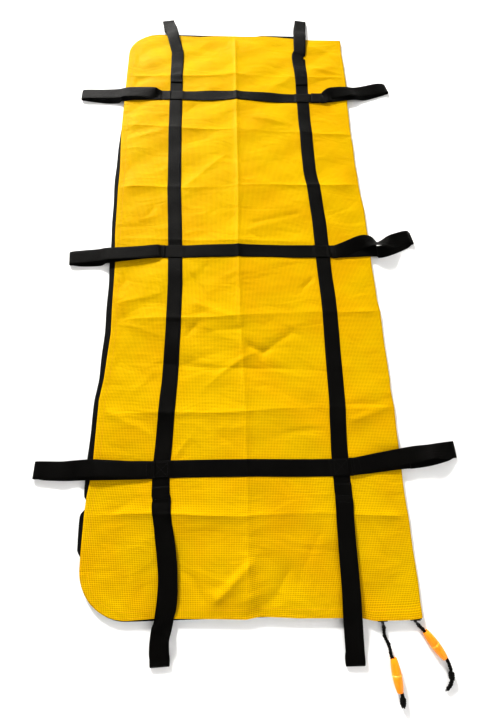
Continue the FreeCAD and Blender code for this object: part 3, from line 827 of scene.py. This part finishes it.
def band(centre, across, normal):
    """A loop's webbing, lifted clear of what it lies on."""
    at = centre[:, None] + across[:, None] * STRIP[:, None]
    top = at + normal[:, None] * HALF_T
    bottom = at - normal[:, None] * HALF_T
    low = np.minimum(top[..., 2], bottom[..., 2])
    need = np.clip(ground(at[..., 0], at[..., 1]) - low, 0, None)
    top[..., 2] += need
    bottom[..., 2] += need
    over = np.clip(top[..., 2].max(1) - MAX_Z, 0, None)[:, None]
    top[..., 2] -= over
    bottom[..., 2] = np.maximum(bottom[..., 2] - over, 0.0002)
    return thick_grid(top, bottom, strip_uv(STRIP, centre))


def sewn_strap(line, lift):
    """A strap that lies on the cloth along a flat line, lifted by some heights."""
    flat = line[:, None] + sideways(line)[:, None] * STRIP[:, None]
    low = on_cloth(flat[..., 0], flat[..., 1], 0.00025) + UP * lift[:, None, None]
    even = low[..., 2].max(1, keepdims=True) * 0.35 + low[..., 2] * 0.65
    low[..., 2] = np.maximum(even, low[..., 2])
    middle = low + UP * WEB_T / 2
    return thick_grid(middle + UP * HALF_T, middle - UP * HALF_T, strip_uv(STRIP, line))


def strap_top(x, y):
    """Height of the webbing's top where a cross strap or crossing lies."""
    return cloth_top(x, y) + SEWN_GAP + WEB_T


def strap_stitches(line, lift):
    """Two rows of stitches that hold a strap to the cloth."""
    side = sideways(line)
    parts = []
    for sign in (-1, 1):
        flat = line + side * sign * (WEB_W / 2 - STITCH_INSET)
        points = on_cloth(flat[:, 0], flat[:, 1], 0.0) + UP * (lift[:, None] + 0.00035 + WEB_T)
        parts.append(dashes(points, level(side), copies(UP, len(side)), *STRAP_STITCH))
    return joined(parts)


def strap(kind, name, line, lift, *nodes):
    """A sewn strap in place of some nodes, and its stitches."""
    obj = piece(f"{kind}_webbing_{name}", sewn_strap(line, lift), "web")
    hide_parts(*nodes)
    return obj, piece(f"{kind}_stitches_{name}", strap_stitches(line, lift), "thread")


def long_straps():
    for side, name, body in SIDES:
        y = np.linspace(-0.812, 0.992, 300)
        line = np.stack([long_x(side, y), y], -1)
        for obj in strap("long", name, line, np.zeros(len(y)), "long_strap_" + name):
            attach(obj, body)


def over_long(x, y):
    """How much a cross strap rises where it passes over a lengthwise strap."""
    beside = smoothstep(to_long(x, y), WEB_W / 2 + 0.001, WEB_W / 2 + 0.012)
    return (WEB_T + SEWN_GAP) * (1 - beside)


def cross_straps():
    ends = ((-0.3105, 0.337), (-0.283, 0.308), (-0.284, 0.308))
    for row, name, (x0, x1) in zip(ROWS_Y, ("head", "middle", "foot"), ends):
        x = np.linspace(x0, x1, 150)
        y = row + 0.0016 * np.sin(9 * x + 5 * row)
        nodes = ("cross_strap_left_" + name, "cross_strap_right_" + name)
        for obj in strap("cross", name, np.stack([x, y], -1), over_long(x, y), *nodes):
            fold_blend(obj)


# Box stitching: half its width, and its runs of corners. The second run is the last diagonal.
BOX_HALF = 0.0195
BOX_RUNS = (((-1, -1), (1, -1), (1, 1), (-1, 1), (-1, -1), (1, 1)), ((-1, 1), (1, -1)))


def box_sides(centre):
    """The stitch rows of one crossing."""
    t = np.linspace(0, 1, 14)[:, None]
    for run in BOX_RUNS:
        for a, b in zip(run, run[1:]):
            flat = centre + BOX_HALF * np.array(a) * (1 - t) + BOX_HALF * np.array(b) * t
            x, y = flat.T
            points = on_cloth(x, y, 0.0)
            points[:, 2] = strap_top(x, y) + over_long(x, y) + 0.00005
            way = unit(points[-1] - points[0])
            across = copies([way[1], -way[0], 0.0], len(t))
            yield dashes(points, across, copies(UP, len(t)), *BOX_STITCH)


def crossing_boxes():
    """Box stitching with a cross inside, on each of the six crossings."""
    for side, name, body in SIDES:
        parts = []
        for row in ROWS_Y:
            parts += box_sides(np.array([float(long_x(side, row)), row]))
        obj = piece("box_stitches_" + name, joined(parts), "thread")
        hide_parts("crossing_stitches_" + name)
        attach(obj, body)


# ---- handle loops --------------------


def ground(x, y):
    """What a loop lies on: the cloth, the zip beside it, then the floor."""
    depth = inside(x, y)
    depth = np.minimum(depth, HALF_W + 0.004 - x)
    cloth = cloth_top(np.clip(x, -HALF_W, FOLD_X), np.clip(y, -HALF_L, HALF_L))
    rim = np.clip(0.0128 - 1.6 * np.clip(-depth - 0.016, 0, None), 0.0, None)
    return np.where(depth > 0, cloth, rim) + 0.0005


# Each loop's root, reach, heading in degrees, overlap with its strap, and the tip's place
# sideways in mm and roll. Its upper and lower lines are rows of share of the reach, sideways
# in mm, height in mm and roll in degrees. A lower height of 12 or less means on the ground.
LOOPS = {
    "handle_side_left_head": dict(
        root=(-0.312, 0.752), reach=0.326, heading=179.1, overlap=0.036, tip=(3, 0),
        upper=[(0.03, 1, 19, -4), (0.07, 3, 22, -26), (0.12, 2, 24, -20), (0.24, -4, 24, -4),
               (0.42, -2, 24, 0), (0.54, 0, 17, 0), (0.72, 0, 13, 2), (0.88, 1, 12, 2)],
        lower=[(0.86, 7, 2, 0), (0.68, 13, 3, 0), (0.52, 13, 5, 0), (0.4, 10, 16, 0),
               (0.14, 3, 16, 0)]),
    "handle_side_left_middle": dict(
        root=(-0.285, 0.007), reach=0.319, heading=184.9, overlap=0.013, tip=(0, 0),
        upper=[(0.05, 0, 19, 0), (0.2, 2, 21, 2), (0.42, 3, 24, 4), (0.58, 2, 24, 3),
               (0.68, 0, 15, 0), (0.86, -1, 12, 0)],
        lower=[(0.86, 6, 2, 0), (0.68, 9, 3, 0), (0.56, 7, 13, 0), (0.3, 3, 16, 0),
               (0.14, 1, 16, 0)]),
    "handle_side_left_foot": dict(
        root=(-0.285, -0.738), reach=0.34, heading=178.6, overlap=0.013, tip=(2, 0),
        upper=[(0.05, 0, 19, 0), (0.2, 0, 21, 2), (0.42, -3, 25, 6), (0.52, -3, 25, 0),
               (0.64, -1, 16, -8), (0.76, 2, 14, 4), (0.9, 2, 12, 0)],
        lower=[(0.88, 5, 2, 0), (0.72, 6, 3, 0), (0.56, 5, 6, 0), (0.4, 4, 16, 0),
               (0.14, 2, 16, 0)]),
    "handle_side_right_head": dict(
        root=(0.342, 0.752), reach=0.3, heading=14.3, overlap=0.04, tip=(-1, 0),
        upper=[(0.04, -6, 19, 4), (0.12, 4, 24, 20), (0.22, 6, 25, 12), (0.4, 3, 24, 0),
               (0.52, 0, 17, 0), (0.66, -2, 15, 6), (0.84, -1, 14, 12), (0.94, 0, 11, 6)],
        lower=[(0.86, -5, 2, 0), (0.64, -12, 3, 0), (0.46, -13, 7, 0), (0.32, -10, 16, 0),
               (0.12, -6, 16, 0)]),
    "handle_side_right_middle": dict(
        root=(0.312, 0.007), reach=0.316, heading=11.2, overlap=0.014, tip=(4, 0),
        upper=[(0.06, -6, 20, 4), (0.18, -2, 24, 16), (0.34, 8, 28, 24), (0.46, 8, 29, -6),
               (0.55, -6, 27, -42), (0.62, -8, 26, -34), (0.74, -6, 26, 16), (0.88, 2, 20, 22),
               (0.95, 4, 15, 12)],
        lower=[(0.88, -8, 4, 0), (0.7, -22, 3, 0), (0.56, -26, 5, 0), (0.42, -20, 15, 0),
               (0.14, -8, 16, 0)]),
    "handle_side_right_foot": dict(
        root=(0.312, -0.738), reach=0.324, heading=7.9, overlap=0.014, tip=(2, 6),
        upper=[(0.05, 0, 19, 0), (0.2, 2, 21, 2), (0.42, 4, 25, 4), (0.54, 5, 22, 0),
               (0.66, 6, 19, -16), (0.76, 6, 19, -26), (0.86, 3, 17, -8), (0.94, 2, 12, 4)],
        lower=[(0.88, -4, 4, 8), (0.72, -9, 3, 4), (0.56, -8, 4, 0), (0.44, -5, 15, 0),
               (0.14, -2, 16, 0)]),
    "handle_head_left": dict(
        root=(-0.255, 1.0), reach=0.224, heading=101.8, overlap=0.176, tip=(3, 0),
        upper=[(0.08, 0, 19, 0), (0.3, 1, 23, 4), (0.5, 0, 24, -6), (0.64, -1, 19, -12),
               (0.8, 2, 14, -6), (0.92, 3, 11, 0)],
        lower=[(0.84, 4, 2, 0), (0.68, 6, 5, 0), (0.5, 0, 15, 0), (0.16, -1, 16, 0)]),
    "handle_head_right": dict(
        root=(0.27, 1.0), reach=0.24, heading=85.0, overlap=0.176, tip=(0, 2), skew=-0.008,
        upper=[(0.08, 0, 19, 0), (0.3, 1, 23, -3), (0.5, 2, 24, -4), (0.66, 1, 17, 2),
               (0.84, 0, 13, 4)],
        lower=[(0.84, 3, 2, 3), (0.68, 4, 4, 0), (0.5, 4, 15, 0), (0.16, 1, 16, 0)]),
    "handle_foot_left": dict(
        root=(-0.25, -0.82), reach=0.406, heading=272.0, overlap=0.036, tip=(-6, 0),
        upper=[(0.04, -4, 19, 0), (0.14, 1, 20, 0), (0.34, 14, 22, 0), (0.52, 18, 24, -4),
               (0.66, 16, 27, -22), (0.74, 7, 26, -30), (0.81, -3, 22, 10), (0.87, -6, 16, 4),
               (0.94, -6, 12, 0)],
        lower=[(0.93, -9, 2, 0), (0.85, -7, 4, 0), (0.73, 6, 15, 0), (0.5, 15, 16, 0),
               (0.2, 4, 16, 0), (0.08, 0, 16, 0)]),
    "handle_foot_right": dict(
        root=(0.272, -0.82), reach=0.421, heading=269.4, overlap=0.036, tip=(-6, 0),
        upper=[(0.04, 0, 19, 0), (0.14, -2, 20, 0), (0.34, -4, 22, 2), (0.56, -5, 24, 3),
               (0.7, -7, 25, 6), (0.78, -7, 20, 3), (0.88, -6, 13, 0)],
        lower=[(0.92, -3, 2, 0), (0.85, -2, 4, 0), (0.72, -4, 15, 0), (0.5, -3, 16, 0),
               (0.2, -2, 16, 0), (0.08, -1, 16, 0)]),
}


# Height of the line on which each loop's root bends
ROOT_Z = 0.0172
# The turn at a loop's tip: distance back from the tip, and height
TIP_TURN = ((0.016, 0.0118), (0.006, 0.0094), (0.0012, 0.0060), (0.006, 0.0028), (0.018, 0.0018))


def loop_line(root, reach, heading, overlap, upper, tip, lower, skew=0.0):
    """Rows of x, y, z, roll round the loop, from the sewn end out and back."""
    h = math.radians(heading)
    out = np.array([math.cos(h), math.sin(h)])
    left = np.array([-out[1], out[0]])
    strap = np.array([round(out[0]), round(out[1])])

    def place(distance, side):
        return np.array(root) + out * distance + left * side / 1000

    rows = []
    for share in (1.0, 0.6, 0.3):
        x, y = np.array(root) - strap * overlap * share
        if strap[1]:
            x = float(long_x(-1 if x < 0 else 1, y))
        base = float(strap_top(x, y) + over_long(x, y) * abs(strap[0]))
        rows.append((x + skew * (1 - share), y, base + 0.0011, 0.0))
    x, y = root
    rows.append((x + skew, y, float(strap_top(x, y)) + 0.0012, 0.0))
    for share, side, z, roll in upper:
        rows.append((*place(share * reach, side), z / 1000, roll))
    side, roll = tip
    for back, z in TIP_TURN:
        rows.append((*place(reach - back, side), z, roll))
    for share, side, z, roll in lower:
        x, y = place(share * reach, side)
        floor = float(ground(x, y)) + WEB_T / 2
        rows.append((x, y, max(z / 1000 if z > 12 else floor, floor), roll))
    x, y = place(0.003, 0)
    rows.append((x, y, float(ground(x, y)) + WEB_T / 2 + 0.0004, 0.0))
    return smooth_line(rows, 0.0045), out, left


def loop_frames(line, left):
    """Across and up directions of the band at each point, with its roll."""
    way = along(line[:, :3])[1]
    across = copies((*left, 0.0), len(line))
    across = unit(across - way * (across * way).sum(1, keepdims=True))
    up = np.cross(way, across)
    a = np.radians(line[:, 3])[:, None]
    return across * np.cos(a) + up * np.sin(a), up * np.cos(a) - across * np.sin(a)


def handle_loop(name, spec):
    """One carrying loop, with the stitches at its root."""
    line, out, left = loop_line(**spec)
    across, up = loop_frames(line, left)
    centre = line[:, :3]
    obj = piece(name.replace("handle", "loop"), band(centre, across, up), "web")
    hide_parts(name)
    parent = "flap" if "left" in name else "base"
    root = np.array(spec["root"])
    start, end = (*(root - out * 0.004), ROOT_Z), (*(root + out * 0.022), ROOT_Z)
    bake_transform(obj)
    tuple(start)
    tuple(end)
    s, way = along(centre)
    half = WEB_W / 2 - 0.004
    sewn = s < spec["overlap"] + 0.018
    rows = []
    for sign in (-1, 1):
        edge = centre[sewn] + across[sewn] * sign * half + up[sewn] * (WEB_T / 2)
        rows.append(dashes(edge, across[sewn], up[sewn], *ROOT_STITCH))
    t = np.linspace(-1, 1, 16)[:, None]
    for at in (0.004, min(spec["overlap"], 0.034), spec["overlap"] + 0.016):
        i = int(np.argmin(np.abs(s - at)))
        cross = centre[i] + across[i] * t * half + up[i] * (WEB_T / 2)
        rows.append(dashes(cross, copies(way[i], len(t)), copies(up[i], len(t)), *ROOT_STITCH))
    stitches = name.replace("handle", "root_stitches")
    thread = piece(stitches, joined(rows), "thread")
    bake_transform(thread)
    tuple(start)
    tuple(end)


# ---- pulls --------------------

PIN_Y = -1.1438
# A strand's distance from the middle of its cord, and its radius
STRAND_OFF, STRAND_R = 0.0021, 0.0026
# A float's half: where it starts, its length to the rim, its radius, and the bore's radius
FLOAT_FROM, FLOAT_L, FLOAT_R, BORE_R = 0.0020, 0.0355, 0.0120, 0.0046
# A knot's length, the reach of its turns, and how many there are
KNOT_L, KNOT_R, KNOT_TURNS = 0.0165, 0.0052, 3.6
# Each pull's slider, heading, cord length, and the cord's route in mm from the slider's pin
PULLS = {
    "a": dict(x=0.345, angle=9.0, length=0.180, route=(
        (10, 0, 8.2), (30, -5, 6.0), (50, 1.5, 9.4),
        (69, -1, 12.6), (164, 2, 12.6), (188, -3, 8.4))),
    "b": dict(x=0.434, angle=38.0, length=0.174, route=(
        (10, 0, 8.2), (21, 1, 12.6), (114, -1, 12.6),
        (134, -10, 9.0), (154, -28, 8.0), (158, -49, 4.2))),
}


def from_pin(x, angle, point):
    """A point given as (out, sideways, height) in mm from the slider's pin."""
    out, side, z = point
    a = math.radians(angle)
    return np.array([x * 1000 + side * math.cos(a) + out * math.sin(a),
                     PIN_Y * 1000 + side * math.sin(a) - out * math.cos(a), z]) / 1000


def round_corners(points):
    """Straight runs joined by arcs, as points."""
    p = [np.asarray(q, float) for q in points]
    line = [p[0]]
    for a, b, c in zip(p, p[1:], p[2:]):
        back = 0.45 * min(np.linalg.norm(b - a), np.linalg.norm(c - b))
        s, e = b + unit(a - b) * back, b + unit(c - b) * back
        for t in np.linspace(0, 1, 9):
            line.append((1 - t) ** 2 * s + 2 * t * (1 - t) * b + t * t * e)
    return np.array(line + [p[-1]])


def frames_along(points):
    """Two directions square to a line that turn with it as little as they can."""
    way = along(points)[1]
    side = np.zeros_like(way)
    side[0] = unit(np.cross(way[0], [0.3, 0.2, 1.0]))
    for i in range(1, len(way)):
        side[i] = unit(side[i - 1] - way[i] * (side[i - 1] @ way[i]))
    return side, np.cross(way, side)


def tube(points, radius, sides=10, wobble=None):
    """A closed tube along points. wobble moves its centre off the line."""
    side, up = frames_along(points)
    if wobble is not None:
        points = points + side * wobble[:, 0:1] + up * wobble[:, 1:2]
        side, up = frames_along(points)
    turn = np.linspace(0, math.tau, sides, endpoint=False)[:, None]
    radius = np.broadcast_to(np.asarray(radius, float), (len(points),))
    ring = side[:, None] * np.cos(turn) + up[:, None] * np.sin(turn)
    verts = points[:, None] + ring * radius[:, None, None]
    verts = np.concatenate([verts.reshape(-1, 3), points[[0, -1]]])
    n = len(points)
    last, k = (n - 1) * sides, np.arange(0, sides, 2)
    near = [np.full_like(k, n * sides), (k + 2) % sides, k + 1, k]
    far = [np.full_like(k, n * sides + 1), last + k, last + k + 1, last + (k + 2) % sides]
    faces = np.concatenate([ring_faces(n, sides), np.stack(near, -1), np.stack(far, -1)])
    return verts, faces, no_uv(verts)


def pull_cord(letter, spec):
    """Two strands twisted together, as the cord with its loose twist looks."""
    points = [from_pin(spec["x"], spec["angle"], p) for p in spec["route"]]
    line = smooth_line(round_corners(points), 0.0012)
    s = along(line)[0]
    loose = 1 + 0.18 * np.sin(s * 330 + 1.0) + 0.10 * np.sin(s * 810)
    strands = []
    for k in range(2):
        phase = s * 480 + math.pi * k + 0.5 * np.sin(s * 150)
        off = STRAND_OFF * loose
        wobble = np.stack([off * np.cos(phase), off * np.sin(phase)], -1)
        fibre = STRAND_R * (1 + 0.09 * np.sin(s * 5200 + 3 * k))
        strands.append(tube(line, fibre, wobble=wobble))
    verts, faces, uv = joined(strands)
    verts[:, 2] = np.maximum(verts[:, 2], 0.0004)
    return piece("cord_" + letter, (verts, faces, uv), "cord"), line


def lathe(name, middle, way, outline, key):
    """A turned piece from (distance along, radius) pairs about a line."""
    side = unit(np.cross(way, UP))
    up = np.cross(way, side)
    turn = np.linspace(0, math.tau, 40, endpoint=False)[:, None]
    rings = [middle + way * d + side * (r * np.cos(turn)) + up * (r * np.sin(turn))
             for d, r in outline]
    faces = ring_faces(len(outline), len(turn), closed=True)
    return piece(name, (np.concatenate(rings), faces), key)


def node_middle(name):
    """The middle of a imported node's box."""
    co = np.array([v.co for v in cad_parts[name].data.vertices], float)
    return (co.min(0) + co.max(0)) / 2


def float_pieces(letter):
    """Two tapered halves and the seam ring between them, about the cord."""
    near, far = (node_middle(f"float_{letter}_{part}") for part in ("near_half", "far_half"))
    middle, way = (near + far) / 2, unit(far - near)
    t = np.linspace(0, 1, 22)

    def half(sign):
        body = [(FLOAT_FROM + FLOAT_L * q, FLOAT_R - 0.0002 * q - 0.0040 * q**2.2) for q in t]
        rim = [(0.0379, 0.0074), (0.0380, 0.0066), (0.0376, 0.0052), (0.0355, BORE_R)]
        inner = [(FLOAT_FROM, BORE_R), (0.00205, 0.0114)]
        outline = [(sign * d, r) for d, r in body + rim + inner]
        return outline if sign > 0 else outline[::-1]

    pieces = []
    for part, sign in (("near_half", -1), ("far_half", 1)):
        obj = lathe(f"spindle_{letter}_{part}", middle, way, half(sign), "float")
        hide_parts(f"float_{letter}_{part}")
        pieces.append(obj)
    ring = [(-0.0019, BORE_R), (-0.0019, FLOAT_R), (-0.0013, 0.01235), (0.0013, 0.01235),
            (0.0019, FLOAT_R), (0.0019, BORE_R)]
    obj = lathe(f"spindle_{letter}_ring", middle, way, ring[::-1], "band")
    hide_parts(f"float_{letter}_band")
    return pieces + [obj]


def knot(letter, line):
    """An overhand knot pulled tight, with fraying at the end of the cord."""
    middle = node_middle("pull_knot_" + letter)
    i = int(np.argmin(np.linalg.norm(line - middle, axis=1)))
    ways = along(line)[1]
    way = ways[i]
    side = unit(np.cross(way, UP))
    up = np.cross(side, way)

    def spread(forward, right, high):
        return middle + way * forward[:, None] + side * right[:, None] + up * high[:, None]

    t = np.linspace(0, 1, 110)
    wind = t * math.tau * KNOT_TURNS
    reach = KNOT_R * (0.60 + 0.40 * np.sin(math.pi * np.clip(t, 0.04, 0.96)) ** 0.35)
    lump = spread((t - 0.5) * KNOT_L, reach * np.cos(wind), reach * np.sin(wind))
    bow = np.linspace(-1.2, 1.2, 14)
    over = spread(np.linspace(-0.0075, 0.0075, 14), 0.0050 * np.sin(bow), 0.0056 * np.cos(bow))
    parts = [tube(lump, 0.0025), tube(over, 0.0023), tube(line[max(0, i - 8):i + 8], 0.0040)]
    end, tail_way = line[-1], ways[-1]
    for k in range(9 if letter == "b" else 4):
        turn = rng.uniform(0, math.tau)
        away = side * math.cos(turn) * 0.0042 + up * math.sin(turn) * 0.0022
        tip = end + tail_way * rng.uniform(0.001, 0.005) + away
        start = end - tail_way * 0.004 + away * 0.25
        wisp = start + (tip - start) * np.linspace(0, 1, 5)[:, None]
        parts.append(tube(wisp, np.linspace(0.0010, 0.0004, 5), 6))
    verts, faces, uv = joined(parts)
    verts[:, 2] = np.maximum(verts[:, 2], 0.0003)
    obj = piece("knot_" + letter, (verts, faces, uv), "cord")
    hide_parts("pull_knot_" + letter)
    return obj


def pulls():
    for letter, spec in PULLS.items():
        cord, line = pull_cord(letter, spec)
        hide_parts("pull_cord_" + letter)
        lump = knot(letter, line)
        floats = float_pieces(letter)
        for obj in (cord, lump, *floats):
            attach(obj, "pull_" + letter)


def paint_metal():
    for name in ("slider_a", "slider_b", "pull_tab_a", "pull_tab_b"):
        paint(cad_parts[name], "metal")
    paint(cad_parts["zip_end_stops"], "coil")


# ---- floor and light --------------------


def area_light(name, place, aim, size, energy, colour=(1, 1, 1)):
    data = bpy.data.lights.new(name, "AREA")
    data.shape = "SQUARE"
    data.size = size
    data.energy = energy
    data.color = colour
    obj = bpy.data.objects.new(name, data)
    scene.collection.objects.link(obj)
    obj.location = place
    way = Vector(aim) - Vector(place)
    obj.rotation_mode = "QUATERNION"
    obj.rotation_quaternion = way.to_track_quat("-Z", "Y")
    obj.visible_camera = False


def stage():
    bend = np.linspace(0, math.pi / 2, 12)
    out = np.concatenate([[0.02, 2.0, 4.5], 7.0 + 1.6 * np.sin(bend), [8.6]])
    high = np.concatenate([[0, 0, 0], 1.6 - 1.6 * np.cos(bend), [10.5]])
    turn = np.linspace(0, math.tau, 65)
    rings = np.stack([out[:, None] * np.cos(turn), out[:, None] * np.sin(turn),
                      np.repeat(high[:, None], 65, 1)], -1)
    floor = mesh_object("floor", rings.reshape(-1, 3), grid_faces(len(out), 65, 0, True))
    floor.data.materials.append(materials["floor"])
    area_light("key", (-3.2, 7.1, 3.9), (0.0, 0.0, 0.0), 1.2, 980, (1.0, 0.985, 0.96))
    area_light("top", (0.5, -1.3, 3.4), (0.0, -0.4, 0.0), 2.4, 20)
    area_light("fill", (2.4, -3.4, 2.2), (0.0, -0.3, 0.0), 2.4, 12)
    world = bpy.data.worlds.new("studio")
    world.use_nodes = True
    sky = world.node_tree.nodes["Background"]
    sky.inputs["Color"].default_value = (1.0, 1.0, 1.0, 1.0)
    sky.inputs["Strength"].default_value = 0.12
    scene.world = world
    scene.view_settings.view_transform = "Standard"
    scene.view_settings.look = "High Contrast"


# ---- build --------------------

make_camera()
materials = make_materials()
pulls()
lid_cloth()
harness_cloth()
head_seam()
zip_pieces()
hem_stitches()
long_straps()
cross_straps()
crossing_boxes()
for loop_name, loop_spec in LOOPS.items():
    handle_loop(loop_name, loop_spec)
paint_metal()
stage()
